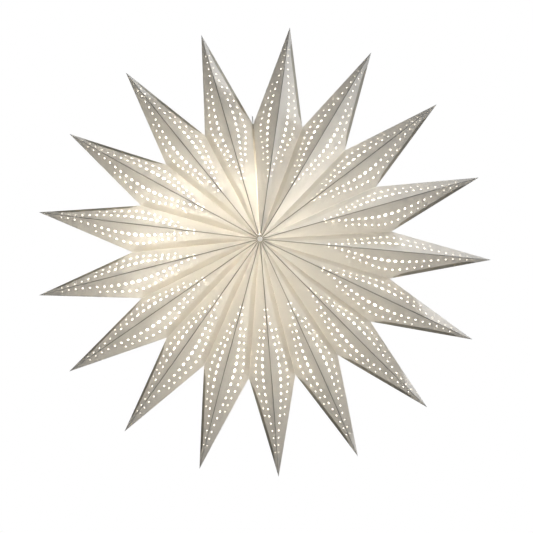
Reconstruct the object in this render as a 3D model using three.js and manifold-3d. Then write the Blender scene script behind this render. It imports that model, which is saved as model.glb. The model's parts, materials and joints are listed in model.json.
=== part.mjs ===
// Folding paper star lantern with 17 hollow points round a hub, and the lamp that hangs in it.
// Millimetres, +Z up, front of the star faces -Y. The origin is the hanging hole; everything is
// drawn about the centre of the star and moved down by the hole's height at the end.
// The sheets fan out clockwise (seen from the front) from end card A at the top, round to card B.
import * as THREE from "three";
import { mergeVertices } from "three/addons/utils/BufferGeometryUtils.js";
import Module from "manifold-3d";

// Star
const POINTS = 17;
const TIP_R = 400; // centre to tip
const NOTCH_R = 228; // centre to the notch between two points
const HALF_DEPTH = 120; // centre plane to the hub, front and back
const CLOSURE_DEG = 1; // gap between the first and the last point
const SAG_DEG = 1.6; // its own weight opens the top of the fan and closes the bottom this much
const PAPER_T = 0.8; // paper thickness, as modelled
const SEAM_SHIFT = 1.1; // each point stands out this far, which leaves 0.4 between neighbours
const HUB_CUT_R = 7; // the sheets' inner corners stop this far from the axis

// Glue flaps of a sheet
const LAP_W = 7.5; // lap flap, glued inside the next point
const LAP_T = 0.5;
const LAP_GAP = 0.4; // glue line, left empty
const LAP_FROM = 0.24; // along the valley, hub to notch
const LAP_TO = 0.95;
const WEB_SHORT = 0.015; // the web that carries a lap ends this much before it
const SEAM_W = 5; // flap that closes the point along its clockwise edge
const SEAM_FROM = 0.04; // along the edge, notch to tip
const SEAM_TO = 0.9;

// End cards, one each side of the closure
const CARD_W = 16;
const CARD_T = 1;
const CARD_IN = 0.6; // behind the end of the sheet
const CARD_UNDER = 1.4; // below the outside of the paper
const CARD_HUB_R = 22; // clear of each other when the fan is shut

// Studs that card B hooks over
const STUD_R = 2;
const STUD_HEAD_R = 3.6;
const STUD_HEAD_T = 0.9;
const STUD_PAST = 1.2;
const HOLE_PLAY = 0.4;
const TOP_STUD_Z = 208;
const SIDE_STUD_U = 0.46; // along the valley, hub to notch

// Hub fastening
const BUTTON_R = 4.3;
const BUTTON_H = 3.6;
const BUTTON_OFF = 1.2; // in front of the sheets' corners
const WASHER_R = 9.5;
const WASHER_T = 1;
const WASHER_IN = 11; // behind the hub's peak
const TIE_R = 0.8;
const LOOP_TOP = 14; // the tie's loop stands up this far beside the button
const LOOP_HALF_W = 1.5;

// Hanger plate
const PLATE_W = 12;
const PLATE_T = 1.2;
const PLATE_TOP = 238.5;
const PLATE_BOTTOM = 147;
const HANG_HOLE_R = 3.2;
const HANG_HOLE_Z = 232.5;
const PIN_Z = 152; // the lamp swings about this
const PIN_R = 1.4;
const PIN_HALF = 12.4;

// Lamp, heights above the centre of the star
const YOKE_X = 9; // inner side of each ear
const YOKE_T = 1.5;
const YOKE_W = 8;
const YOKE_TOP = 157;
const YOKE_RING_Z = 134;
const NECK_R = 5.5;
const INLET_R = 3.4; // for a 6 mm cord
const NECK_TOP = 139;
const HOLDER_R = 14;
const HOLDER_TOP = 112;
const HOLDER_BOTTOM = 79.5;
const BASE_R = 6.9; // E14
const GLASS_R = 17.5;
const GLASS_TOP = 78;
const GLASS_BOTTOM = 6;

const SEGMENTS = 24;

const module = await Module();
module.setup();
const { Manifold, Mesh } = module;

const rad = THREE.MathUtils.degToRad;
const v3 = (x, y, z) => new THREE.Vector3(x, y, z);

const paper = new THREE.MeshStandardMaterial({ color: 0xf2ead8, roughness: 0.9 });
const card = new THREE.MeshStandardMaterial({ color: 0xd9d0bf, roughness: 0.95 });
const steel = new THREE.MeshStandardMaterial({ color: 0x8c8c8c, metalness: 1, roughness: 0.4 });
const thread = new THREE.MeshStandardMaterial({ color: 0xf5f3ee, roughness: 0.8 });
const plastic = new THREE.MeshStandardMaterial({ color: 0xf0eee8, roughness: 0.5 });
const brass = new THREE.MeshStandardMaterial({ color: 0xc8a860, metalness: 1, roughness: 0.35 });
const dark = new THREE.MeshStandardMaterial({ color: 0x1c1c1e, roughness: 0.6 });
const glass = new THREE.MeshStandardMaterial({ color: 0xffe9c0, roughness: 0.1 });

function toManifold(geometry) {
  const bare = new THREE.BufferGeometry();
  bare.setAttribute("position", geometry.getAttribute("position").clone());
  if (geometry.index) bare.setIndex(geometry.index.clone());
  const merged = mergeVertices(bare, 1e-4);
  const mesh = new Mesh({
    numProp: 3,
    vertProperties: new Float32Array(merged.getAttribute("position").array),
    triVerts: new Uint32Array(merged.index.array),
  });
  mesh.merge();
  return new Manifold(mesh);
}

function fromManifold(solid) {
  const mesh = solid.getMesh();
  const geometry = new THREE.BufferGeometry();
  geometry.setAttribute("position", new THREE.BufferAttribute(mesh.vertProperties, 3));
  geometry.setIndex(new THREE.BufferAttribute(mesh.triVerts, 1));
  const flat = geometry.toNonIndexed();
  flat.computeVertexNormals();
  return flat;
}

function unite(geometries) {
  return fromManifold(geometries.map(toManifold).reduce((a, b) => a.add(b)));
}

function cut(geometry, tools) {
  return fromManifold(tools.map(toManifold).reduce((a, b) => a.subtract(b), toManifold(geometry)));
}

// Closed solid from corner points and faces, each face a ring of corner numbers seen from outside
function solidOf(corners, faces) {
  const geometry = new THREE.BufferGeometry();
  geometry.setAttribute(
    "position",
    new THREE.Float32BufferAttribute(corners.flatMap((p) => p.toArray()), 3)
  );
  const index = [];
  for (const face of faces) {
    for (let i = 1; i + 1 < face.length; i += 1) {
      index.push(face[0], face[i], face[i + 1]);
    }
  }
  geometry.setIndex(index);
  if (volumeOf(geometry) < 0) {
    geometry.setIndex(index.reverse());
  }
  return geometry;
}

function volumeOf(geometry) {
  const p = geometry.getAttribute("position");
  const at = (i) => v3(0, 0, 0).fromBufferAttribute(p, geometry.index.getX(i));
  let sum = 0;
  for (let i = 0; i < geometry.index.count; i += 3) {
    sum += at(i).dot(at(i + 1).cross(at(i + 2)));
  }
  return sum / 6;
}

// Block between two rings of four corners
function block(under, over) {
  const faces = [[3, 2, 1, 0], [4, 5, 6, 7]];
  for (let i = 0; i < 4; i += 1) {
    const j = (i + 1) % 4;
    faces.push([i, j, j + 4, i + 4]);
  }
  return solidOf([...under, ...over], faces);
}

// Surface of revolution about Z, from a closed profile of [radius, height] pairs
function turned(profile, segments = SEGMENTS) {
  const ring = [...profile, profile[0]].map(([r, z]) => new THREE.Vector2(r, z));
  const geometry = new THREE.LatheGeometry(ring, segments).rotateX(Math.PI / 2);
  return fromManifold(outward(geometry));
}

function outward(geometry) {
  const solid = toManifold(geometry);
  if (solid.volume() > 0) return solid;
  const merged = mergeVertices(geometry, 1e-4);
  merged.setIndex([...merged.index.array].reverse());
  return toManifold(merged);
}

// Plate cut from a closed outline in the plane X = 0, with its thickness along X
function plateYZ(outline, holes, thickness) {
  const shape = new THREE.Shape(outline.map(([y, z]) => new THREE.Vector2(y, z)));
  for (const [y, z, r] of holes) {
    shape.holes.push(new THREE.Path().absarc(y, z, r, 0, 2 * Math.PI, true));
  }
  const options = { depth: thickness, bevelEnabled: false, curveSegments: SEGMENTS / 2 };
  const geometry = new THREE.ExtrudeGeometry(shape, options);
  geometry.translate(0, 0, -thickness / 2);
  // drawing X, Y and depth become row Y, Z and X
  geometry.applyMatrix4(new THREE.Matrix4().makeBasis(v3(0, 1, 0), v3(0, 0, 1), v3(1, 0, 0)));
  return geometry;
}

const star = new THREE.Group();
star.name = "folding_star_lantern";

function add(name, geometry, material) {
  const mesh = new THREE.Mesh(geometry.translate(0, 0, -HANG_HOLE_Z), material);
  mesh.name = name;
  star.add(mesh);
}

// ---------- paper points ----------
// A point is drawn along local X, with local Y clockwise and local Z to the back.

const PITCH = rad((360 - CLOSURE_DEG) / POINTS);
const TIP = v3(TIP_R, 0, 0);
const peak = (face) => v3(0, 0, face * HALF_DEPTH);

// Valleys are numbered 0 to 17; each one's angle is measured clockwise from the closure
function valleyTurn(number) {
  const even = rad(CLOSURE_DEG / 2) + number * PITCH;
  return even + rad(SAG_DEG) * Math.sin(even);
}

// Facets are planes a x + b |y| + c |z| = 1, so a layer below them is the same shape, scaled
function shapeOf(number) {
  const half = (valleyTurn(number) - valleyTurn(number - 1)) / 2;
  const notch = (side) => v3(NOTCH_R * Math.cos(half), side * NOTCH_R * Math.sin(half), 0);
  const a = 1 / TIP_R;
  const b = (1 - a * notch(1).x) / notch(1).y;
  const slope = v3(a, b, 1 / HALF_DEPTH).length();
  return { notch, layer: (depth) => 1 - depth * slope };
}

const mix = (a, b, t) => a.clone().lerp(b, t);

function sheetShell({ notch, layer }) {
  const rim = [];
  for (const face of [-1, 1]) {
    const hub = peak(face);
    for (const side of [-1, 1]) {
      rim.push(mix(hub, notch(side), HUB_CUT_R / NOTCH_R));
    }
    rim.push(mix(hub, TIP, HUB_CUT_R / TIP_R));
  }
  const outer = [TIP, notch(-1), notch(1), ...rim];
  const inner = outer.map((p) => p.clone().multiplyScalar(layer(PAPER_T)));
  const n = outer.length;
  // corners: 0 tip, 1 and 2 notches, 3 to 5 front hub (left, right, ridge), 6 to 8 back hub
  const facets = [[1, 3, 5, 0], [0, 5, 4, 2], [0, 8, 6, 1], [2, 7, 8, 0]];
  const loop = [3, 5, 4, 2, 7, 8, 6, 1];
  const faces = [];
  for (const f of facets) {
    faces.push(f);
    faces.push(f.map((i) => i + n).reverse());
  }
  loop.forEach((i, k) => {
    const j = loop[(k + 1) % loop.length];
    faces.push([j, i, i + n, j + n]);
  });
  return solidOf([...outer, ...inner], faces);
}

// Four corners of a strip on a facet: along its edge, and w0 to w1 away from it
function strip(layer, from, to, away, w0, w1, depth) {
  const along = to.clone().sub(from).normalize();
  const across = away.clone().sub(from);
  across.addScaledVector(along, -across.dot(along)).normalize();
  const at = (p, w) => p.clone().addScaledVector(across, w).multiplyScalar(layer(depth));
  return [at(from, w0), at(to, w0), at(to, w1), at(from, w1)];
}

// Flap that joins the front and the back of the sheet along its clockwise edge
function seamFlap({ notch, layer }) {
  const from = mix(notch(1), TIP, SEAM_FROM);
  const to = mix(notch(1), TIP, SEAM_TO);
  return block(
    strip(layer, from, to, peak(-1), 0.2, SEAM_W, PAPER_T / 2),
    strip(layer, from, to, peak(-1), 0.2, SEAM_W, 2 * PAPER_T)
  );
}

// Flap glued inside the next point: a narrow web through the gap, and the strip itself
function lapFlap(face, own, next, toNext) {
  const hub = peak(face);
  const top = PAPER_T + LAP_GAP;
  const under = top + LAP_T;
  const moved = (ring) => ring.map((p) => p.applyMatrix4(toNext));
  const nextAt = (t) => mix(hub, next.notch(-1), t);
  const ownAt = (t) => mix(hub, own.notch(1), t);
  const long = [top, under].map((depth) =>
    moved(strip(next.layer, nextAt(LAP_FROM), nextAt(LAP_TO), TIP, 0, LAP_W, depth))
  );
  const from = LAP_FROM + WEB_SHORT;
  const to = LAP_TO - WEB_SHORT;
  const near = (depth) => strip(own.layer, ownAt(from), ownAt(to), TIP, 0.7, 1, depth);
  const far = (depth) => moved(strip(next.layer, nextAt(from), nextAt(to), TIP, 0.1, 0.6, depth));
  const [a, b] = near(0.3 * PAPER_T);
  const [c, d] = near(0.9 * PAPER_T);
  const [e, f] = far(top + 0.1);
  const [g, h] = far(under - 0.1);
  return [block(...long), block([a, b, d, c], [e, f, h, g])];
}

function placeOf(number) {
  const angle = Math.PI / 2 - (valleyTurn(number) + valleyTurn(number - 1)) / 2;
  const out = v3(Math.cos(angle), 0, Math.sin(angle));
  const clockwise = v3(Math.sin(angle), 0, -Math.cos(angle));
  const place = new THREE.Matrix4().makeBasis(out, clockwise, v3(0, 1, 0));
  return place.setPosition(out.multiplyScalar(SEAM_SHIFT));
}

for (let number = 1; number <= POINTS; number += 1) {
  const place = placeOf(number);
  const own = shapeOf(number);
  const pieces = [sheetShell(own), seamFlap(own)];
  if (number < POINTS) {
    const toNext = place.clone().invert().multiply(placeOf(number + 1));
    const next = shapeOf(number + 1);
    pieces.push(...lapFlap(-1, own, next, toNext), ...lapFlap(1, own, next, toNext));
  }
  const geometry = unite(pieces).applyMatrix4(place);
  add(`point_${String(number).padStart(2, "0")}`, geometry, paper);
}

// ---------- closure at the top ----------

const hole = (r, y, z) =>
  new THREE.CylinderGeometry(r, r, 40, SEGMENTS).rotateZ(Math.PI / 2).translate(0, y, z);

// Points on the closure's plane, as [y, z], a distance inside the paper's outer edge
function edgePoint(face, u, inset) {
  const along = new THREE.Vector2(-face * HALF_DEPTH, NOTCH_R).normalize();
  const y = face * HALF_DEPTH * (1 - u);
  const z = NOTCH_R * u;
  const inwards = new THREE.Vector2(-face * along.y, face * along.x);
  return [y + inwards.x * inset, z + inwards.y * inset];
}

const studs = [
  ["top", 0, TOP_STUD_Z],
  ["front", ...edgePoint(-1, SIDE_STUD_U, CARD_UNDER + CARD_W / 2)],
  ["back", ...edgePoint(1, SIDE_STUD_U, CARD_UNDER + CARD_W / 2)],
];

function endCard(side) {
  const start = CARD_HUB_R / NOTCH_R;
  const apex = (inset) => [0, NOTCH_R - (inset * Math.hypot(NOTCH_R, HALF_DEPTH)) / HALF_DEPTH];
  const outline = [
    edgePoint(-1, start, CARD_UNDER),
    apex(CARD_UNDER),
    edgePoint(1, start, CARD_UNDER),
    edgePoint(1, start, CARD_UNDER + CARD_W),
    apex(CARD_UNDER + CARD_W),
    edgePoint(-1, start, CARD_UNDER + CARD_W),
  ];
  const geometry = plateYZ(outline, [], CARD_T);
  geometry.translate(side * (CARD_IN + CARD_T / 2), 0, 0);
  geometry.rotateY(side * rad(CLOSURE_DEG / 2));
  return cut(geometry, studs.map(([, y, z]) => hole(STUD_R + HOLE_PLAY, y, z)));
}

add("end_card_a", endCard(1), card);
add("end_card_b", endCard(-1), card);

for (const [name, y, z] of studs) {
  const face = z * Math.sin(rad(CLOSURE_DEG / 2)) + CARD_IN + CARD_T;
  const shank = face + STUD_PAST;
  const profile = [
    [0, -shank],
    [STUD_R - 0.5, -shank],
    [STUD_R, -shank + 0.5],
    [STUD_R, face + 0.4],
    [STUD_HEAD_R, face + 0.4],
    [STUD_HEAD_R - 0.5, face + 0.4 + STUD_HEAD_T],
    [0, face + 0.4 + STUD_HEAD_T],
  ];
  add(`closure_stud_${name}`, turned(profile, 16).rotateY(Math.PI / 2).translate(0, y, z), steel);
}

// ---------- hub ----------

for (const [name, face] of [["front", -1], ["back", 1]]) {
  // drawn with +Z pointing out of the hub, then turned to face front or back
  const seat = HALF_DEPTH - HUB_CUT_R * (HALF_DEPTH / TIP_R) + BUTTON_OFF;
  const place = (geometry) => geometry.rotateX((-face * Math.PI) / 2);
  const eye = TIE_R + 0.4;
  const button = [
    [eye, seat],
    [BUTTON_R - 0.6, seat],
    [BUTTON_R, seat + 0.8],
    [BUTTON_R - 0.4, seat + 0.6 * BUTTON_H],
    [BUTTON_R - 1.6, seat + 0.9 * BUTTON_H],
    [eye, seat + BUTTON_H],
  ];
  add(`hub_button_${name}`, place(turned(button, 20)), plastic);
  const inside = HALF_DEPTH - WASHER_IN;
  const washer = [
    [eye, inside - WASHER_T],
    [WASHER_R, inside - WASHER_T],
    [WASHER_R, inside],
    [eye, inside],
  ];
  add(`hub_washer_${name}`, place(turned(washer, 20)), card);
  // tie through washer and button: a knot inside, and a flat loop standing up outside
  const crown = seat + BUTTON_H + 1.2;
  const path = new THREE.LineCurve3(v3(0, 0, inside - 4), v3(0, 0, crown));
  const cord = cappedTube(path, 8, TIE_R, 8);
  const ringR = LOOP_TOP / 2 - TIE_R;
  const loop = new THREE.TorusGeometry(ringR, TIE_R, 8, 20);
  loop.applyMatrix4(new THREE.Matrix4().makeScale((LOOP_HALF_W + TIE_R) / ringR, 1, 1));
  loop.translate(0, -face * (LOOP_TOP / 2 - TIE_R), crown);
  const knot = new THREE.IcosahedronGeometry(2.1, 1).translate(0, 0, inside - 4.2);
  add(`hub_tie_${name}`, place(unite([cord, loop, knot])), thread);
}

function cappedTube(path, steps, radius, sides) {
  const tube = new THREE.TubeGeometry(path, steps, radius, sides, false);
  const at = [...tube.getAttribute("position").array];
  const index = [...tube.index.array];
  const ring = sides + 1;
  for (const [first, flip] of [[0, false], [steps * ring, true]]) {
    const centre = v3(0, 0, 0);
    for (let i = 0; i < sides; i += 1) {
      centre.add(v3(...at.slice(3 * (first + i), 3 * (first + i) + 3)));
    }
    at.push(...centre.divideScalar(sides).toArray());
    const middle = at.length / 3 - 1;
    for (let i = 0; i < sides; i += 1) {
      const pair = flip ? [first + i + 1, first + i] : [first + i, first + i + 1];
      index.push(middle, ...pair);
    }
  }
  const geometry = new THREE.BufferGeometry();
  geometry.setAttribute("position", new THREE.Float32BufferAttribute(at, 3));
  geometry.setIndex(index);
  return fromManifold(outward(geometry));
}

// ---------- hanger and lamp ----------

function roundedBar(width, low, high) {
  const outline = [];
  const r = width / 2;
  for (let i = 0; i <= 8; i += 1) {
    const a = (Math.PI * i) / 8;
    outline.push([r * Math.cos(a), high - r + r * Math.sin(a)]);
  }
  for (let i = 0; i <= 8; i += 1) {
    const a = Math.PI + (Math.PI * i) / 8;
    outline.push([r * Math.cos(a), low + r + r * Math.sin(a)]);
  }
  return outline;
}

const plateHoles = [
  [0, HANG_HOLE_Z, HANG_HOLE_R],
  [0, TOP_STUD_Z, STUD_R + HOLE_PLAY],
  [0, PIN_Z, PIN_R + 0.3],
];
add(
  "hanger_plate",
  plateYZ(roundedBar(PLATE_W, PLATE_BOTTOM, PLATE_TOP), plateHoles, PLATE_T),
  steel
);

const pinProfile = [
  [0, -PIN_HALF],
  [PIN_R, -PIN_HALF],
  [PIN_R, PIN_HALF - 1],
  [PIN_R + 1.4, PIN_HALF - 1],
  [PIN_R + 1.4, PIN_HALF],
  [0, PIN_HALF],
];
add("lamp_pin", turned(pinProfile, 16).rotateY(Math.PI / 2).translate(0, 0, PIN_Z), steel);

const earMiddle = YOKE_X + YOKE_T / 2;
const yokeRing = turned([
  [NECK_R + 0.4, YOKE_RING_Z],
  [YOKE_X + YOKE_T, YOKE_RING_Z],
  [YOKE_X + YOKE_T, YOKE_RING_Z + YOKE_T],
  [NECK_R + 0.4, YOKE_RING_Z + YOKE_T],
]);
const ears = [-1, 1].map((side) =>
  plateYZ(
    roundedBar(YOKE_W, YOKE_RING_Z - YOKE_W / 2 + 0.2, YOKE_TOP),
    [[0, PIN_Z, PIN_R + 0.3]],
    YOKE_T
  ).translate(side * earMiddle, 0, 0)
);
const belowRing = new THREE.BoxGeometry(40, 20, 10).translate(0, 0, YOKE_RING_Z - 5);
add("lamp_yoke", cut(unite([yokeRing, ...ears]), [belowRing]), steel);

const gripProfile = [
  [INLET_R, YOKE_RING_Z + YOKE_T + 0.5],
  [INLET_R, NECK_TOP + 4.5],
  [INLET_R + 2, NECK_TOP + 4.5],
  [NECK_R + 1.2, NECK_TOP + 3],
  [NECK_R + 1.8, NECK_TOP - 1],
  [NECK_R + 1.8, YOKE_RING_Z + YOKE_T + 0.5],
];
const gripBore = [
  [0, YOKE_RING_Z],
  [NECK_R + 0.4, YOKE_RING_Z],
  [NECK_R + 0.4, NECK_TOP + 0.5],
  [0, NECK_TOP + 0.5],
];
add("cord_grip_nut", cut(turned(gripProfile), [turned(gripBore)]), plastic);

const wall = 1.8;
const capProfile = [
  [INLET_R, NECK_TOP],
  [INLET_R, YOKE_RING_Z - 5],
  [HOLDER_R - wall - 3, YOKE_RING_Z - 9],
  [HOLDER_R - wall, HOLDER_TOP + 8],
  [HOLDER_R - wall, HOLDER_TOP],
  [HOLDER_R, HOLDER_TOP],
  [HOLDER_R, HOLDER_TOP + 9],
  [HOLDER_R - 2, YOKE_RING_Z - 6],
  [NECK_R + 3, YOKE_RING_Z - 0.4],
  [NECK_R, YOKE_RING_Z - 0.4],
  [NECK_R, NECK_TOP],
];
add("lampholder_cap", turned(capProfile), plastic);

const shellTop = HOLDER_TOP - 0.4;
const shellProfile = [
  [HOLDER_R - 0.4, shellTop],
  [HOLDER_R - 0.4, HOLDER_BOTTOM + 1],
  [HOLDER_R - 1.4, HOLDER_BOTTOM],
  [HOLDER_R - 3.4, HOLDER_BOTTOM],
  [HOLDER_R - 3.4, shellTop - 8],
  [HOLDER_R - 2.6, shellTop - 8],
  [HOLDER_R - 2.6, shellTop],
];
add("lampholder_shell", turned(shellProfile), plastic);

const ringZ = HOLDER_BOTTOM + 14;
const clampProfile = [
  [HOLDER_R, ringZ],
  [HOLDER_R + 5, ringZ],
  [HOLDER_R + 5, ringZ + 1.6],
  [HOLDER_R + 1.6, ringZ + 3],
  [HOLDER_R + 1.6, ringZ + 7],
  [HOLDER_R, ringZ + 7],
];
add("lampholder_clamp_ring", turned(clampProfile), plastic);

const blockTop = shellTop - 0.4;
const contactProfile = [
  [0, blockTop],
  [HOLDER_R - 3.2, blockTop],
  [HOLDER_R - 3.2, blockTop - 7],
  [BASE_R + 2, blockTop - 7],
  [BASE_R + 2, blockTop - 26],
  [BASE_R + 0.8, blockTop - 26],
  [BASE_R + 0.8, blockTop - 8],
  [0, blockTop - 8],
];
add("lampholder_contacts", turned(contactProfile), brass);

// screw base, with its thread as rounded rings
const baseTop = blockTop - 12;
const baseBottom = GLASS_TOP + 2;
const threadRings = 5;
const baseProfile = [[3.2, baseTop]];
for (let i = 0; i < threadRings; i += 1) {
  const z = baseTop - 1 - (i * (baseTop - baseBottom - 4)) / threadRings;
  baseProfile.push([BASE_R - 0.8, z], [BASE_R, z - 1.3]);
}
baseProfile.push([BASE_R - 0.4, baseBottom + 2], [BASE_R, baseBottom]);
baseProfile.push([BASE_R - 1, baseBottom], [BASE_R - 1.6, baseTop - 1.4], [3.2, baseTop - 1.4]);
add("bulb_base", turned(baseProfile), brass);

const tipProfile = [
  [0, baseTop - 3],
  [2.8, baseTop - 3],
  [2.8, baseTop + 1.4],
  [1.4, baseTop + 2.8],
  [0, baseTop + 2.8],
];
add("bulb_contact", turned(tipProfile, 16), dark);

// candle bulb: a thin glass wall, open at the neck
const bulbLength = GLASS_TOP - GLASS_BOTTOM;
const bulge = (t) => GLASS_R * Math.sin(Math.PI * Math.min(1, 0.14 + 0.86 * t) ** 0.8) ** 0.75;
const outerWall = [];
const innerWall = [];
const bulbSteps = 14;
for (let i = 0; i < bulbSteps; i += 1) {
  const t = i / bulbSteps;
  const r = Math.max(bulge(t), i === 0 ? BASE_R : 0);
  outerWall.push([r, GLASS_TOP - t * bulbLength]);
  innerWall.unshift([r - 1, GLASS_TOP - t * (bulbLength - 2)]);
}
add(
  "bulb_glass",
  turned([...outerWall, [0, GLASS_BOTTOM], [0, GLASS_BOTTOM + 3], ...innerWall]),
  glass
);

const stemProfile = [
  [0, GLASS_TOP + 6],
  [3.6, GLASS_TOP + 6],
  [3.6, GLASS_TOP - 10],
  [1.2, GLASS_TOP - 14],
  [1.2, GLASS_TOP - 50],
  [0, GLASS_TOP - 50],
];
add("bulb_filament_stem", turned(stemProfile, 12), glass);

export default star;
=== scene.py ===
"""Folding paper star lantern: the visual model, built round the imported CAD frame. Metres."""

import json
import math
import random

import bpy
import numpy as np
from mathutils import Matrix, Vector
from mathutils.geometry import delaunay_2d_cdt


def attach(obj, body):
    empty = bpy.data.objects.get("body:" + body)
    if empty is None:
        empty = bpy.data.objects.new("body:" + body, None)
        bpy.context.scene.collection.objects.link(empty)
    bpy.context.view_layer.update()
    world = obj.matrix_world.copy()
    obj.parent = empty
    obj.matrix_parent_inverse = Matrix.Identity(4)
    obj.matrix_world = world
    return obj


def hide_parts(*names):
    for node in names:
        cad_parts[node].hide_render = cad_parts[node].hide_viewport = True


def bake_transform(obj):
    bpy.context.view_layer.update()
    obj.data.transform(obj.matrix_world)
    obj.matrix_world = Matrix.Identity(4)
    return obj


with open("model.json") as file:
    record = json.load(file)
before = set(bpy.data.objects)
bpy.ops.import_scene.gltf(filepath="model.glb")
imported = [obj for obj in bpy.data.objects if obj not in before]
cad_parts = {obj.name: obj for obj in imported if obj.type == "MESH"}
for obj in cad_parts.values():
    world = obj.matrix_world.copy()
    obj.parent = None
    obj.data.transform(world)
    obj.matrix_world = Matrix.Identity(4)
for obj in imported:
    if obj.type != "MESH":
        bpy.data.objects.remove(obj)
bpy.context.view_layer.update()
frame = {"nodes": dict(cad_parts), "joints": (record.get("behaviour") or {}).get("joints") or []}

MM = 0.001

# ---------- sizes, as in the CAD ----------
POINTS = 17
JOINT = {j["name"]: j for j in frame["joints"]}
CENTRE = Vector(JOINT["fan_01"]["pos_m"])
TIP_R = 400 * MM
NOTCH_R = 228 * MM
HALF_DEPTH = 120 * MM
CLOSURE = math.radians(1)
SEAM_SHIFT = 0.1 * MM
HUB_CUT_R = 4.6 * MM
PITCH = (2 * math.pi - CLOSURE) / POINTS
SAG = math.radians(1.6)


def valley_turn(number):
    """Angle of valley 0 to 17, clockwise from the closure. The fan's weight opens it at the top."""
    even = CLOSURE / 2 + number * PITCH
    return even + SAG * math.sin(even)


def half_pitch(number):
    return (valley_turn(number) - valley_turn(number - 1)) / 2


def middle_turn(number):
    return (valley_turn(number) + valley_turn(number - 1)) / 2

# ---------- paper ----------
PAPER_T = 0.35 * MM
RIM_IN = 0.15 * MM  # the drawn sheet lies this far under the CAD's outside
BULGE = 1.6 * MM
TIP_WANDER = 2.5 * MM
GRID = 9 * MM
ROW = 0.87  # height of a row of the triangular grid, in grid steps
HOLE_ROOM = 2.2 * MM  # grid points keep this far from a hole
BORDER_ROOM = 0.45  # and this far from the border, in grid steps
BULGE_PEAK = 27  # brings the product of the three shares to 1 in a facet's middle
EDGE_STEP = 7 * MM

FIRST_HOLE = 376 * MM  # along the ridge from the hub
HOLE_PITCH = 12.6 * MM
MAIN_HOLES = 21
OUTER_FIRST = 5
OUTER_HOLES = 13

rng = random.Random(17)


# ---------- looks of the paper and the light inside ----------
BULB_STRENGTH = 55.0
INNER_GLOW = 0.7  # light that has bounced round inside, given off by the inner skin
PAPER_TINT = (1.0, 0.965, 0.9)  # of the light that comes through
CREASE_W = 0.9 * MM
RIDGE_THROUGH = (0.2, 0.18, 0.15)
# painted shade along the ridge fold, in the surface colour, and how much of it
RIDGE_PAINTED_SHADE = (0.3, 0.285, 0.25)
RIDGE_SHADE_SHARE = 0.75
EDGE_SHADE = 0.25
# painted shade of the glue flaps behind the sheet, in the light let through and in the surface colour
FLAP_THROUGH = (0.2, 0.15, 0.08)
LAP_SHADE = 0.2
SEAM_SHADE = 0.9
LAP_PAINTED_SHADE = 0.1
SEAM_PAINTED_SHADE = 0.7
BAND_PAINTED_SHADE = (0.56, 0.53, 0.43)
BAND_SOFT = 0.06  # fade at a flap's border, as a share of the flap's width
LAP_W = 12.5 * MM
LAP_FROM = 16 * MM  # along the valley from the hub
LAP_END = 0.965  # share of the valley
SEAM_W = 7.4 * MM
DIM_TOWARDS = 60  # degrees up from the right, seen from the front
DIM_SPREAD = 60
DIM_BY = 0.3
GLOW_ENDS = (366 * MM, 390 * MM)  # along the ridge from the hub
TIP_DIM = 0.35  # share of the glow that is gone at the tip
CREASE_FADES = (330 * MM, 90 * MM)  # creases get finer from here, over this length


# ---------- node material helpers ----------
def material(name):
    m = bpy.data.materials.new(name)
    m.use_nodes = True
    m.node_tree.nodes.clear()
    return m, m.node_tree


def node(tree, kind, **values):
    n = tree.nodes.new(kind)
    for key, value in values.items():
        if hasattr(n, key):
            setattr(n, key, value)
        else:
            n.inputs[key.replace("_", " ")].default_value = value
    return n


def link(tree, a, b):
    tree.links.new(a, b)


def math_node(tree, operation, a, b):
    n = tree.nodes.new("ShaderNodeMath")
    n.operation = operation
    for socket, value in zip(n.inputs, (a, b)):
        if isinstance(value, (int, float)):
            socket.default_value = value
        else:
            tree.links.new(value, socket)
    return n.outputs[0]


def ramp(tree, factor, *stops):
    n = tree.nodes.new("ShaderNodeValToRGB")
    elements = n.color_ramp.elements
    while len(elements) < len(stops):
        elements.new(0.5)
    for e, (at, colour) in zip(elements, stops):
        e.position = at
        e.color = (*colour, 1) if len(colour) == 3 else colour
    tree.links.new(factor, n.inputs["Fac"])
    return n.outputs["Color"]


def noise(tree, scale, detail=3.0, roughness=0.5):
    place = tree.nodes.new("ShaderNodeTexCoord")
    n = tree.nodes.new("ShaderNodeTexNoise")
    n.inputs["Scale"].default_value = scale
    n.inputs["Detail"].default_value = detail
    n.inputs["Roughness"].default_value = roughness
    tree.links.new(place.outputs["Object"], n.inputs["Vector"])
    return n.outputs["Fac"]


def bump(tree, height, strength, distance):
    n = tree.nodes.new("ShaderNodeBump")
    n.inputs["Strength"].default_value = strength
    n.inputs["Distance"].default_value = distance
    tree.links.new(height, n.inputs["Height"])
    return n.outputs["Normal"]


def attribute(tree, name):
    n = tree.nodes.new("ShaderNodeAttribute")
    n.attribute_name = name
    return n.outputs["Fac"]


def output(tree, shader):
    n = tree.nodes.new("ShaderNodeOutputMaterial")
    tree.links.new(shader, n.inputs["Surface"])


def mixed(tree, factor, a, b):
    """Colour a to colour b by factor; a and b are sockets or tuples."""
    n = tree.nodes.new("ShaderNodeMix")
    n.data_type = "RGBA"
    for socket, value in ((n.inputs[0], factor), (n.inputs[6], a), (n.inputs[7], b)):
        if isinstance(value, tuple):
            socket.default_value = (*value, 1)
        elif isinstance(value, (int, float)):
            socket.default_value = value
        else:
            tree.links.new(value, socket)
    return n.outputs[2]


def within(tree, name, width, soft):
    """1 where the named number is under width, fading to 0 over soft."""
    n = tree.nodes.new("ShaderNodeMapRange")
    n.interpolation_type = "SMOOTHSTEP"
    n.inputs["From Min"].default_value = width - soft / 2
    n.inputs["From Max"].default_value = width + soft / 2
    n.inputs["To Min"].default_value = 1
    n.inputs["To Max"].default_value = 0
    tree.links.new(attribute(tree, name), n.inputs["Value"])
    return n.outputs[0]


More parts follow.
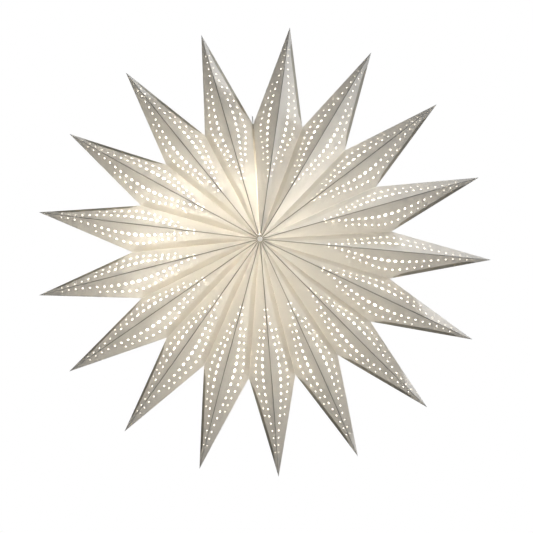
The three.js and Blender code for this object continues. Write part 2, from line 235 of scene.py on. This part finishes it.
def paper_material(name, glow, passing):
    """Star paper. passing is the share of light that goes through instead of scattering back;
    glow stands for the light that has bounced round inside the star many times."""
    m, t = material(name)
    cloud = noise(t, 60, 4, 0.6)
    fibre = noise(t, 900, 3, 0.7)
    # creases: the ridge and the outer edges are pressed folds, which let less light through; along the
    # ridge the surface colour also carries painted shade
    ridge = within(t, "ridge", CREASE_W, CREASE_W)
    edge = within(t, "edge", CREASE_W, CREASE_W)
    # where a glue flap lies behind, less light comes through: the flap's shadow is painted darker into the
    # light let through and into the surface colour
    lap = within(t, "lap", 1.0, BAND_SOFT)
    seam = within(t, "seam", 1.0, BAND_SOFT)
    formation = ramp(t, cloud, (0.3, (0.93, 0.93, 0.93)), (0.7, (1, 1, 1)))
    through = mixed(t, ridge, formation, RIDGE_THROUGH)
    through = mixed(t, math_node(t, "MULTIPLY", edge, EDGE_SHADE), through, RIDGE_THROUGH)
    through = mixed(t, math_node(t, "MULTIPLY", lap, LAP_SHADE), through, FLAP_THROUGH)
    through = mixed(t, math_node(t, "MULTIPLY", seam, SEAM_SHADE), through, FLAP_THROUGH)
    tint = t.nodes.new("ShaderNodeMix")
    tint.data_type = "RGBA"
    tint.blend_type = "MULTIPLY"
    tint.inputs[0].default_value = 1
    tint.inputs[7].default_value = (*PAPER_TINT, 1)
    link(t, through, tint.inputs[6])
    surface = ramp(t, fibre, (0.2, (0.885, 0.88, 0.862)), (0.8, (0.93, 0.926, 0.912)))
    # painted shade of the glue flaps in the surface colour
    surface = mixed(t, math_node(t, "MULTIPLY", lap, LAP_PAINTED_SHADE), surface, BAND_PAINTED_SHADE)
    surface = mixed(t, math_node(t, "MULTIPLY", seam, SEAM_PAINTED_SHADE), surface, BAND_PAINTED_SHADE)
    # painted shade darkens the surface colour along the ridge fold
    surface = mixed(t, math_node(t, "MULTIPLY", ridge, RIDGE_SHADE_SHARE), surface, RIDGE_PAINTED_SHADE)
    normal = bump(t, fibre, 0.04, 0.0002)
    front = node(t, "ShaderNodeBsdfPrincipled", Roughness=0.82)
    front.inputs["Specular IOR Level"].default_value = 0.25
    if glow:
        front.inputs["Emission Color"].default_value = (1.0, 0.955, 0.87, 1)
        strength = math_node(t, "MULTIPLY", attribute(t, "glow"), glow / (1 - passing))
        link(t, strength, front.inputs["Emission Strength"])
    link(t, surface, front.inputs["Base Color"])
    link(t, normal, front.inputs["Normal"])
    back = node(t, "ShaderNodeBsdfTranslucent")
    link(t, tint.outputs[2], back.inputs["Color"])
    mix = node(t, "ShaderNodeMixShader")
    mix.inputs[0].default_value = passing
    link(t, front.outputs[0], mix.inputs[1])
    link(t, back.outputs[0], mix.inputs[2])
    output(t, mix.outputs[0])
    return m


def plain_material(name, dark, light, scale, roughness, metallic=0.0, bump_strength=0.1, lit=0.0):
    """lit is the light that comes through from the lamp behind."""
    m, t = material(name)
    grain = noise(t, scale, 4, 0.6)
    p = node(t, "ShaderNodeBsdfPrincipled", Metallic=metallic)
    colour = ramp(t, grain, (0.25, dark), (0.75, light))
    link(t, colour, p.inputs["Base Color"])
    if lit:
        link(t, colour, p.inputs["Emission Color"])
        p.inputs["Emission Strength"].default_value = lit
    smoother, rougher = (roughness * 0.85,) * 3, (min(1, roughness * 1.15),) * 3
    rough = ramp(t, noise(t, scale * 0.4, 2), (0.3, smoother), (0.7, rougher))
    link(t, rough, p.inputs["Roughness"])
    link(t, bump(t, grain, bump_strength, 0.0002), p.inputs["Normal"])
    output(t, p.outputs[0])
    return m


def bulb_material():
    m, t = material("lit_bulb")
    cloud = noise(t, 90, 3)
    e = node(t, "ShaderNodeEmission", Strength=BULB_STRENGTH)
    link(t, ramp(t, cloud, (0.3, (1.0, 0.9, 0.75)), (0.7, (1.0, 0.93, 0.8))), e.inputs["Color"])
    output(t, e.outputs[0])
    return m


PAPER = paper_material("star_paper", 0, 0.085)
PAPER_INSIDE = paper_material("star_paper_inside", INNER_GLOW, 0.4)
FLAP = paper_material("glue_flap", 0, 0.78)
CARD = plain_material("grey_card", (0.55, 0.5, 0.42), (0.68, 0.63, 0.54), 700, 0.9)
STEEL = plain_material("bright_steel", (0.55, 0.55, 0.56), (0.72, 0.72, 0.72), 500, 0.32, 1.0, 0.04)
BRASS = plain_material("pressed_brass", (0.62, 0.47, 0.22), (0.78, 0.62, 0.33), 400, 0.3, 1.0, 0.04)
PLASTIC = plain_material("white_plastic", (0.8, 0.79, 0.76), (0.86, 0.85, 0.82), 300, 0.42, 0.0, 0.03)
KNOB = plain_material("hub_button_white", (0.86, 0.85, 0.82), (0.92, 0.91, 0.89), 400, 0.16, 0.0, 0.03, 0.5)
TIE = plain_material("hub_cord", (0.6, 0.53, 0.42), (0.84, 0.78, 0.67), 2500, 0.75, 0.0, 0.5, 0.35)
BLACK = plain_material("black_insulator", (0.02, 0.02, 0.022), (0.05, 0.05, 0.052), 500, 0.45)
BULB = bulb_material()


# ---------- the punched facet, flat ----------
# A facet lies in its own plane: u along the ridge from hub to tip, v away from the ridge.
RIDGE_L = math.hypot(TIP_R, HALF_DEPTH)
VALLEY_L = math.hypot(NOTCH_R, HALF_DEPTH)
SIDE_L = math.sqrt(TIP_R**2 + NOTCH_R**2 - 2 * TIP_R * NOTCH_R * math.cos(PITCH / 2))
NOTCH_U = (RIDGE_L**2 + VALLEY_L**2 - SIDE_L**2) / (2 * RIDGE_L)
NOTCH_V = math.sqrt(VALLEY_L**2 - NOTCH_U**2)


def curve_through(*points):
    xs, ys = zip(*points)
    return np.poly1d(np.polyfit(xs, ys, len(points) - 1))


MAIN_V = curve_through((0, 5.1), (0.25, 14.6), (0.52, 24.0), (0.76, 16.0), (1, 4.0))
OUTER_V = curve_through((0, 27.5), (0.25, 39.0), (0.45, 44.5), (0.75, 33.5), (1, 23.0))


def punched_holes():
    """Each hole as (u, v, half length, half width, direction)."""
    holes = []
    for i in range(MAIN_HOLES):
        t = i / (MAIN_HOLES - 1)
        u = FIRST_HOLE - i * HOLE_PITCH
        v = MAIN_V(t) * MM
        slope = -(MAIN_V(t + 0.01) - MAIN_V(t - 0.01)) * MM / (0.02 * (MAIN_HOLES - 1) * HOLE_PITCH)
        wide = math.sin(math.pi * t) ** 0.7
        peak = math.exp(-(((t - 0.55) / 0.13) ** 2))
        inner = max(0.0, (t - 0.7) / 0.3)
        half_length = 1.9 + 0.7 * wide + 1.5 * peak - 0.3 * inner
        half_width = 1.55 + 0.5 * wide + 0.9 * peak - 0.45 * inner
        holes.append((u, v, half_length * MM, half_width * MM, slope))
    for i in range(OUTER_HOLES):
        t = i / (OUTER_HOLES - 1)
        u = FIRST_HOLE - (OUTER_FIRST + i) * HOLE_PITCH
        v = OUTER_V(t) * MM
        slope = -(OUTER_V(t + 0.01) - OUTER_V(t - 0.01)) * MM / (0.02 * (OUTER_HOLES - 1) * HOLE_PITCH)
        big = math.sin(math.pi * min(1, (0.1 + 0.8 * t))) ** 1.2
        half_length = 1.55 + 1.0 * big - 0.25 * t
        half_width = 1.25 + 0.6 * big - 0.25 * t
        holes.append((u, v, half_length * MM, half_width * MM, slope))
    return holes


def ellipse(hole, sides, grow=0.0):
    u, v, a, b, slope = hole
    angle = math.atan(slope)
    c, s = math.cos(angle), math.sin(angle)
    ring = []
    for k in range(sides):
        x = (a + grow) * math.cos(2 * math.pi * k / sides)
        y = (b + grow) * math.sin(2 * math.pi * k / sides)
        ring.append((u + x * c - y * s, v + x * s + y * c))
    return ring


def inside(hole, p, grow=0.0):
    u, v, a, b, slope = hole
    angle = math.atan(slope)
    c, s = math.cos(angle), math.sin(angle)
    x, y = p[0] - u, p[1] - v
    x, y = x * c + y * s, -x * s + y * c
    return (x / (a + grow)) ** 2 + (y / (b + grow)) ** 2 < 1


def between(a, b, step):
    """Points from a towards b, a included and b not."""
    a, b = np.array(a), np.array(b)
    n = max(1, round(float(np.linalg.norm(b - a)) / step))
    return [tuple(a + (b - a) * k / n) for k in range(n)]


def flat_facet():
    """(points, triangles) of one punched facet in its own plane."""
    tip, notch = (RIDGE_L, 0.0), (NOTCH_U, NOTCH_V)
    cut_ridge = (HUB_CUT_R, 0.0)
    cut_valley = (NOTCH_U * HUB_CUT_R / VALLEY_L, NOTCH_V * HUB_CUT_R / VALLEY_L)
    border = (
        between(cut_ridge, tip, EDGE_STEP)
        + between(tip, notch, EDGE_STEP)
        + between(notch, cut_valley, EDGE_STEP)
        + [cut_valley]
    )
    points = list(border)
    edges = [(i, (i + 1) % len(border)) for i in range(len(border))]
    holes = punched_holes()
    for hole in holes:
        sides = 14 if hole[2] > 3 * MM else 10
        first = len(points)
        points += ellipse(hole, sides)
        edges += [(first + k, first + (k + 1) % sides) for k in range(sides)]
    out_slope = NOTCH_V / (RIDGE_L - NOTCH_U)
    in_slope = NOTCH_V / NOTCH_U
    rows = int(NOTCH_V / (GRID * ROW)) + 1
    for r in range(1, rows + 1):
        v = r * GRID * ROW
        for c in range(int(RIDGE_L / GRID) + 1):
            u = (c + 0.5 * (r % 2)) * GRID
            room = min(in_slope * u - v, out_slope * (RIDGE_L - u) - v)
            if room > BORDER_ROOM * GRID and not any(inside(h, (u, v), HOLE_ROOM) for h in holes):
                points.append((u, v))
    co, _, faces, _, _, _ = delaunay_2d_cdt([Vector(p) for p in points], edges, [], 0, 1e-7)
    kept = []
    for f in faces:
        middle = sum((co[i] for i in f), Vector((0, 0))) / len(f)
        if not any(inside(h, middle) for h in holes):
            kept.append(tuple(f))
    return np.array([tuple(p) for p in co]), kept


FLAT, FLAT_FACES = flat_facet()
BULGES = {
    (number, side, face): rng.uniform(-0.2, 1.0) * BULGE
    for number in range(1, POINTS + 1)
    for side in (-1, 1)
    for face in (-1, 1)
}


def facet_plane(number):
    """Facets of a point are planes a x + b |y| + c |z| = 1 in its own axes: X out, Y clockwise,
    Z back. Gives (a, b, c)."""
    half = half_pitch(number)
    a = 1 / TIP_R
    b = (1 - a * NOTCH_R * math.cos(half)) / (NOTCH_R * math.sin(half))
    return np.array((a, b, 1 / HALF_DEPTH))


def layer(number, depth):
    """Scale about the point's origin that moves every facet in by depth."""
    return 1 - depth * float(np.linalg.norm(facet_plane(number)))


def facet_points(number, flat, side, face, depth):
    """Flat (u, v) points laid on a facet, with its bulge, depth under the outside."""
    half = half_pitch(number)
    peak = np.array((0, 0, face * HALF_DEPTH))
    tip = np.array((TIP_R, 0, 0))
    notch = np.array((NOTCH_R * math.cos(half), side * NOTCH_R * math.sin(half), 0))
    b = flat[:, 1] / NOTCH_V
    a = (flat[:, 0] - b * NOTCH_U) / RIDGE_L
    rest = 1 - a - b
    p = peak + a[:, None] * (tip - peak) + b[:, None] * (notch - peak)
    normal = facet_plane(number) * (1, side, face)
    normal /= np.linalg.norm(normal)
    shares = np.clip(a, 0, 1) * np.clip(b, 0, 1) * np.clip(rest, 0, 1)
    lift = BULGES[number, side, face] * BULGE_PEAK * shares
    return (p + lift[:, None] * normal) * layer(number, depth)


def place_of(number):
    """From a point's own axes to the row frame."""
    angle = math.pi / 2 - middle_turn(number)
    out = Vector((math.cos(angle), 0, math.sin(angle)))
    clockwise = Vector((math.sin(angle), 0, -math.cos(angle)))
    place = Matrix((out, clockwise, (0, 1, 0))).transposed().to_4x4()
    place.translation = CENTRE + out * SEAM_SHIFT
    return place


def moved(points, place):
    m = np.array(place)
    return points @ m[:3, :3].T + m[:3, 3]


def new_mesh(name, points, faces, mat, numbers=None, inner=None):
    """inner is (first, last) of the faces that take the second material of mat."""
    mesh = bpy.data.meshes.new(name)
    mesh.from_pydata([tuple(p) for p in points], [], [tuple(f) for f in faces])
    mesh.update()
    for key, values in (numbers or {}).items():
        layer_ = mesh.attributes.new(key, "FLOAT", "POINT")
        layer_.data.foreach_set("value", np.asarray(values, np.float32))
    for look in mat if isinstance(mat, (list, tuple)) else [mat]:
        mesh.materials.append(look)
    if inner:
        for i in range(*inner):
            mesh.polygons[i].material_index = 1
    obj = bpy.data.objects.new(name, mesh)
    bpy.context.scene.collection.objects.link(obj)
    return obj


def thickened(points, faces, scale):
    """Closed thin solid: faces, the same faces scaled about the origin, and walls at open edges."""
    n = len(points)
    seen = {}
    for f in faces:
        for i in range(len(f)):
            a, b = f[i], f[(i + 1) % len(f)]
            seen[(a, b)] = seen.get((a, b), 0) + 1
    walls = [(b, a, a + n, b + n) for (a, b) in seen if (b, a) not in seen]
    under = [tuple(i + n for i in reversed(f)) for f in faces]
    return np.concatenate([points, points * scale]), list(faces) + under + walls


# the order of these draws sets every tip's place
STRAYS = {number: rng.uniform(-1, 1) * TIP_WANDER for number in range(1, POINTS + 1)}
LIFTS = {number: rng.uniform(-1.6, 1.6) * TIP_WANDER for number in range(1, POINTS + 1)}


def stray(number, points):
    """A real tip strays a little from its place."""
    reach = np.clip((points[:, 0] - NOTCH_R) / (TIP_R - NOTCH_R), 0, 1) ** 1.5
    points[:, 1] += reach * STRAYS[number]
    points[:, 2] += reach * LIFTS[number]


def glow_share(number):
    """The lamp hangs on one side, so the points away from it glow less."""
    off = (90 - math.degrees(middle_turn(number)) - DIM_TOWARDS + 180) % 360 - 180
    return 1 - DIM_BY * math.exp(-((off / DIM_SPREAD) ** 2))


def tip_share(u):
    """Less light reaches the narrow end of a point."""
    near = min(1.0, max(0.0, (u - GLOW_ENDS[0]) / (GLOW_ENDS[1] - GLOW_ENDS[0])))
    return 1 - TIP_DIM * near


def finer(u):
    """How many times finer a crease is drawn here."""
    return 1 + 5 * max(0, (u - CREASE_FADES[0]) / CREASE_FADES[1])


def seam_share(u, to_edge):
    """How far in from the outer edge a spot is, in widths of the seam flap there."""
    from_notch = max(0.0, (u - NOTCH_U) / (RIDGE_L - NOTCH_U))
    width = SEAM_W * min(1.0, 0.04 + from_notch * 7, 0.25 + (1 - from_notch) * 2.2)
    return to_edge / width


def lap_share(u, v):
    """How far in from the valley a spot of a facet is, in widths of the lap there."""
    s = (u * NOTCH_U + v * NOTCH_V) / VALLEY_L
    off = (u * NOTCH_V - v * NOTCH_U) / VALLEY_L
    width = min(LAP_W, 0.5 * max(s, MM) * NOTCH_V / NOTCH_U)
    return off / width + 40 * max(0.0, s / VALLEY_L - LAP_END)


def sheet_of_point(number):
    """One point's whole sheet: four punched facets, joined along the folds."""
    where, points, faces = {}, [], []
    numbers = {"ridge": [], "edge": [], "lap": [], "seam": [], "glow": []}
    slope = NOTCH_V / (RIDGE_L - NOTCH_U)
    for face in (-1, 1):
        for side in (-1, 1):
            co = facet_points(number, FLAT, side, face, RIM_IN)
            index = []
            for p, (u, v) in zip(co, FLAT):
                key = tuple(np.round(p, 6))
                if key not in where:
                    where[key] = len(points)
                    points.append(p)
                    to_edge = ((RIDGE_L - u) * slope - v) / math.hypot(1, slope)
                    numbers["ridge"].append(v * finer(u))
                    numbers["edge"].append(to_edge * finer(u))
                    numbers["lap"].append(lap_share(u, v) if side < 0 and number > 1 else 5.0)
                    numbers["seam"].append(seam_share(u, to_edge) if side > 0 and face < 0 else 9.0)
                    numbers["glow"].append(glow_share(number) * tip_share(u))
                index.append(where[key])
            flip = side * face < 0
            for f in FLAT_FACES:
                ring = [index[i] for i in f]
                faces.append(tuple(reversed(ring)) if flip else tuple(ring))
    points = np.array(points)
    count = len(faces)
    solid, faces = thickened(points, faces, layer(number, PAPER_T))
    stray(number, solid)
    numbers = {key: values * 2 for key, values in numbers.items()}
    return moved(solid, place_of(number)), faces, numbers, (count, 2 * count)


def narrow_with_fan(obj):
    """The piece spans from one seam to the next; its placement is baked into its mesh."""
    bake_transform(obj)


for number in range(1, POINTS + 1):
    points, faces, numbers, inner = sheet_of_point(number)
    name = f"point_{number:02d}"
    sheet = new_mesh(f"{name}_sheet", points, faces, (PAPER, PAPER_INSIDE), numbers=numbers, inner=inner)
    narrow_with_fan(sheet)
    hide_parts(name)


# ---------- glue flaps ----------
LAP_UNDER = RIM_IN + PAPER_T + 0.03 * MM
FLAP_T = 0.25 * MM


def flap(number, side, face, rows):
    """A thin strip on the inside of a facet, from its flat outline as rows of (u, v)."""
    cols = len(rows[0])
    flat = np.array([p for row in rows for p in row])
    co = facet_points(number, flat, side, face, LAP_UNDER)
    faces = []
    for r in range(len(rows) - 1):
        for c in range(cols - 1):
            i = r * cols + c
            faces.append((i, i + 1, i + cols + 1, i + cols))
    points, faces = thickened(co, faces, layer(number, FLAP_T))
    stray(number, points)
    return moved(points, place_of(number)), faces


def lap_rows():
    """Strip along the valley, narrowing towards the hub, with a rounded end near the notch."""
    along = np.array((NOTCH_U, NOTCH_V)) / VALLEY_L
    across = np.array((along[1], -along[0]))  # towards the ridge
    rows = []
    half_angle = math.atan2(NOTCH_V, NOTCH_U)
    length = VALLEY_L * LAP_END
    for s in np.linspace(LAP_FROM, length, 34):
        width = min(LAP_W, 0.5 * s * math.tan(half_angle))
        left = length - s
        if left < LAP_W:
            width = LAP_W - (LAP_W - math.sqrt(max(0, LAP_W**2 - (LAP_W - left) ** 2))) * 0.8
        rows.append([tuple(along * s + across * width * w) for w in (0, 0.5, 1)])
    return rows


def seam_rows():
    """Strip along the outer edge of the clockwise facet."""
    tip, notch = np.array((RIDGE_L, 0)), np.array((NOTCH_U, NOTCH_V))
    along = (tip - notch) / SIDE_L
    across = np.array((-along[1], along[0]))
    if across[1] > 0:
        across = -across
    rows = []
    for s in np.linspace(0.01, 0.86, 26):
        width = SEAM_W * min(1, 0.04 + 7 * s, 0.25 + (1 - s) * 2.2)
        start = notch + along * s * SIDE_L
        rows.append([tuple(start + across * (0.4 * MM + width * w)) for w in (0, 0.5, 1)])
    return rows


def joined(parts):
    points, faces, n = [], [], 0
    for p, f in parts:
        points.append(p)
        faces += [tuple(i + n for i in ring) for ring in f]
        n += len(p)
    return np.concatenate(points), faces


def flap_mesh(name, points, faces):
    """A flap has no creases or bands of its own."""
    far = {key: np.full(len(points), 9.0) for key in ("ridge", "edge", "lap", "seam", "glow")}
    return new_mesh(name, points, faces, FLAP, numbers=far)


LAP, SEAM = lap_rows(), seam_rows()
for number in range(1, POINTS + 1):
    if number > 1:
        parts = [flap(number, -1, face, LAP) for face in (-1, 1)]
        points, faces = joined(parts)
        lap = flap_mesh(f"lap_flaps_{number - 1:02d}", points, faces)
        narrow_with_fan(lap)
    points, faces = flap(number, 1, -1, SEAM)
    seam = flap_mesh(f"seam_flap_{number:02d}", points, faces)
    narrow_with_fan(seam)

# ---------- closure tongue ----------
TONGUE_UNDER = 1.0 * MM  # behind the closure's valley line, in front of the end cards
TONGUE_T = 0.25 * MM
TONGUE_SPREAD = 0.024  # to each side, as a share of the way out from the hub
for face, side_name in ((-1, "front"), (1, "back")):
    points, faces = [], []
    rows = 26
    for k in range(rows):
        s = 0.05 + 0.935 * k / (rows - 1)
        reach = NOTCH_R * s * TONGUE_SPREAD
        for under in (TONGUE_UNDER, TONGUE_UNDER + TONGUE_T):
            for x in (-reach, reach):
                points.append((x, face * (HALF_DEPTH * (1 - s) - under), NOTCH_R * s))
    for k in range(rows - 1):
        a, b = 4 * k, 4 * k + 4
        faces += [(a, a + 1, b + 1, b), (a + 2, b + 2, b + 3, a + 3)]
        faces += [(a, b, b + 2, a + 2), (a + 1, a + 3, b + 3, b + 1)]
    faces += [(0, 2, 3, 1), (4 * rows - 4, 4 * rows - 3, 4 * rows - 1, 4 * rows - 2)]
    points = np.array(points) + np.array(CENTRE)
    tongue = flap_mesh(f"closure_tongue_{side_name}", points, faces)
    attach(tongue, "hanger")

# ---------- looks of the carried-over CAD nodes ----------
LOOKS = {
    "end_card_a": CARD, "end_card_b": CARD, "hub_washer_front": CARD, "hub_washer_back": CARD,
    "closure_stud_top": STEEL, "closure_stud_front": STEEL, "closure_stud_back": STEEL,
    "hanger_plate": STEEL, "lamp_pin": STEEL, "lamp_yoke": STEEL,
    "hub_button_front": KNOB, "hub_button_back": KNOB, "cord_grip_nut": PLASTIC,
    "lampholder_cap": PLASTIC, "lampholder_shell": PLASTIC, "lampholder_clamp_ring": PLASTIC,
    "hub_tie_front": TIE, "hub_tie_back": TIE, "bulb_base": BRASS,
    "lampholder_contacts": BRASS, "bulb_contact": BLACK, "bulb_glass": BULB,
    "bulb_filament_stem": PLASTIC,
}
for name, look in LOOKS.items():
    obj = frame["nodes"][name]
    obj.data.materials.clear()
    obj.data.materials.append(look)

# ---------- floor, light, camera ----------
FLOOR_Z = CENTRE.z - 3.2  # low enough for the views from below


def floor_material():
    """Pale floor that looks evenly lit and sends little light up at the star."""
    m, t = material("pale_floor")
    shade = ramp(t, noise(t, 4), (0.3, (0.82, 0.82, 0.82)), (0.7, (0.86, 0.86, 0.86)))
    matt = node(t, "ShaderNodeBsdfDiffuse")
    link(t, shade, matt.inputs["Color"])
    seen = node(t, "ShaderNodeEmission", Strength=1.0)
    link(t, shade, seen.inputs["Color"])
    path = t.nodes.new("ShaderNodeLightPath")
    mix = t.nodes.new("ShaderNodeMixShader")
    link(t, path.outputs["Is Camera Ray"], mix.inputs[0])
    link(t, matt.outputs[0], mix.inputs[1])
    link(t, seen.outputs[0], mix.inputs[2])
    output(t, mix.outputs[0])
    return m


FLOOR_HALF = 30
corners = [(x * FLOOR_HALF, y * FLOOR_HALF, FLOOR_Z) for x, y in ((-1, -1), (1, -1), (1, 1), (-1, 1))]
floor = new_mesh("floor", corners, [(0, 1, 2, 3)], floor_material())

AMBIENT = 0.1
KEY_POWER = 48.0
FILL_POWER = 13.0
GLOW_SCALE = 2.0
GLOW_R = 24 * MM
KEY_AT = (2.68, 0.58, 1.95)
FILL_AT = (2.6, -2.4, 1.8)
world = bpy.data.worlds.new("studio")
bpy.context.scene.world = world
world.use_nodes = True
wt = world.node_tree
wt.nodes.clear()
ambient = node(wt, "ShaderNodeBackground", Strength=AMBIENT)
ambient.inputs["Color"].default_value = (0.93, 0.96, 1.0, 1)
white = node(wt, "ShaderNodeBackground", Strength=1.0)
white.inputs["Color"].default_value = (1, 1, 1, 1)
path = wt.nodes.new("ShaderNodeLightPath")
mix = wt.nodes.new("ShaderNodeMixShader")
wt.links.new(path.outputs["Is Camera Ray"], mix.inputs[0])
wt.links.new(ambient.outputs[0], mix.inputs[1])
wt.links.new(white.outputs[0], mix.inputs[2])
world_out = wt.nodes.new("ShaderNodeOutputWorld")
wt.links.new(mix.outputs[0], world_out.inputs["Surface"])


def area(name, at, size, power, colour=(1, 1, 1)):
    data = bpy.data.lights.new(name, "AREA")
    data.shape = "DISK"
    data.size = size
    data.energy = power
    data.color = colour
    obj = bpy.data.objects.new(name, data)
    bpy.context.scene.collection.objects.link(obj)
    obj.location = CENTRE + Vector(at)
    obj.rotation_mode = "QUATERNION"
    obj.rotation_quaternion = (-Vector(at)).to_track_quat("-Z", "Y")
    return obj


area("key", KEY_AT, 0.25, KEY_POWER, (0.97, 0.98, 1.0))
area("fill", FILL_AT, 2.4, FILL_POWER, (0.98, 0.99, 1.0))


def glow(name, at, radius, power, colour):
    data = bpy.data.lights.new(name, "POINT")
    data.shadow_soft_size = radius
    data.energy = power
    data.color = colour
    obj = bpy.data.objects.new(name, data)
    bpy.context.scene.collection.objects.link(obj)
    obj.location = CENTRE + Vector(at)
    return obj


WARM, WHITE = (1.0, 0.965, 0.9), (1.0, 1.0, 1.0)
GLOWS = (
    ("centre_glow", (-12, -52, 8), 0.35, WARM),
    ("near_glow", (-30, -35, 55), 0.85, WHITE),
    ("streak_glow", (-14, -44, 95), 0.45, WHITE),
    ("left_glow", (-105, -5, 75), 0.12, WHITE),
    ("low_glow", (-20, 0, -60), 0.5, WARM),
    ("right_glow", (70, 0, 10), 0.1, WARM),
    ("point_15_glow", (-125, 0, 88), 0.3, WHITE),
    ("point_14_glow", (-155, 0, 39), 0.3, WHITE),
    ("point_13_glow", (-159, 0, -20), 0.3, WHITE),
)
for name, at, watts, colour in GLOWS:
    glow(name, Vector(at) * MM, GLOW_R, watts * GLOW_SCALE, colour)

FRAME = 533  # pixels
SENSOR = 36  # mm
CAMERA_DISTANCE = 6.4
CAMERA_UP = math.radians(-8.85)
CAMERA_RIGHT = math.radians(1.43)
ROLL = math.radians(4.33)
FOCUS_X, FOCUS_Y = 262.5, 249.6  # where the star's centre lands, in a 533 square

camera = bpy.data.cameras.new("camera")
camera_obj = bpy.data.objects.new("camera", camera)
bpy.context.scene.collection.objects.link(camera_obj)
bpy.context.scene.camera = camera_obj
direction = Vector((
    math.sin(CAMERA_RIGHT) * math.cos(CAMERA_UP),
    -math.cos(CAMERA_RIGHT) * math.cos(CAMERA_UP),
    math.sin(CAMERA_UP),
))
camera.sensor_width = SENSOR
SCALE = 228.5 / TIP_R  # pixels to a metre at the star's centre
camera.lens = SENSOR * CAMERA_DISTANCE * SCALE / FRAME
camera_obj.location = CENTRE + direction * CAMERA_DISTANCE
look = (-direction).to_track_quat("-Z", "Y").to_matrix()
camera_obj.rotation_mode = "QUATERNION"
camera_obj.rotation_quaternion = (look @ Matrix.Rotation(-ROLL, 3, "Z")).to_quaternion()
camera.shift_x = (FRAME / 2 - FOCUS_X) / FRAME
camera.shift_y = (FOCUS_Y - FRAME / 2) / FRAME
camera.clip_start, camera.clip_end = 0.1, 100

bpy.context.scene.view_settings.view_transform = "Standard"
